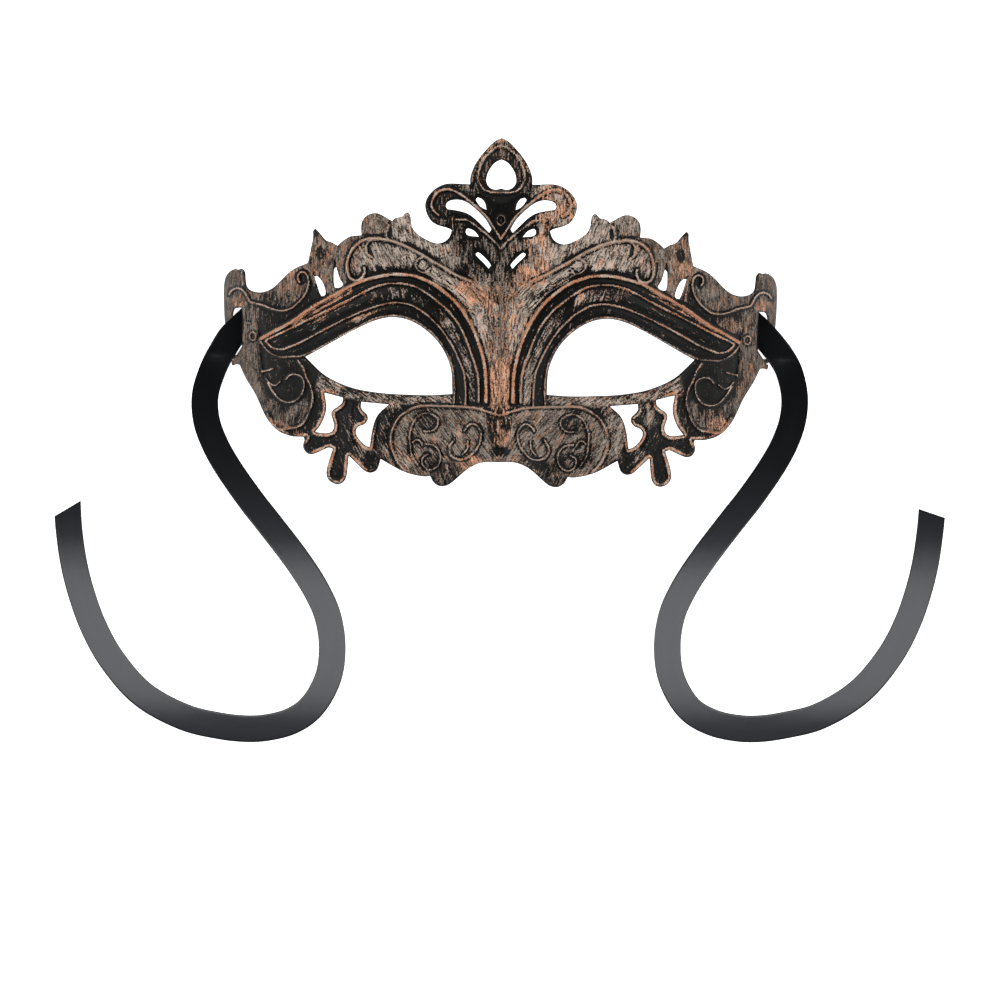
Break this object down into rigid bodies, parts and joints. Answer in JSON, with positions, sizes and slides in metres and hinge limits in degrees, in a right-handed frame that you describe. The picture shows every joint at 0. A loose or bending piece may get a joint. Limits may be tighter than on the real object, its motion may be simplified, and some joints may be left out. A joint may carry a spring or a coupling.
{
  "type": "venetian mask",
  "caption": "Openwork half mask moulded in thin plastic, painted antique copper over black, worn over the eyes and nose and tied with satin ribbons.",
  "frame": {"origin": "on the surface that the mask lies on, below the middle of the moulding's box", "axes": "+X to the right of the picture along the mask's width, +Y to the crest, +Z out of the face, up as it lies"},
  "size_m": [0.2973, 0.202, 0.0698],
  "materials": {
    "painted_plastic": "black plastic with dry-brushed antique copper and grey-brown paint on the raised relief",
    "satin_ribbon": "black satin weave with a soft sheen"
  },
  "bodies": {
    "root": {"mask": "painted_plastic", "ribbon_left": "satin_ribbon", "ribbon_right": "satin_ribbon"}
  },
  "joints": []
}
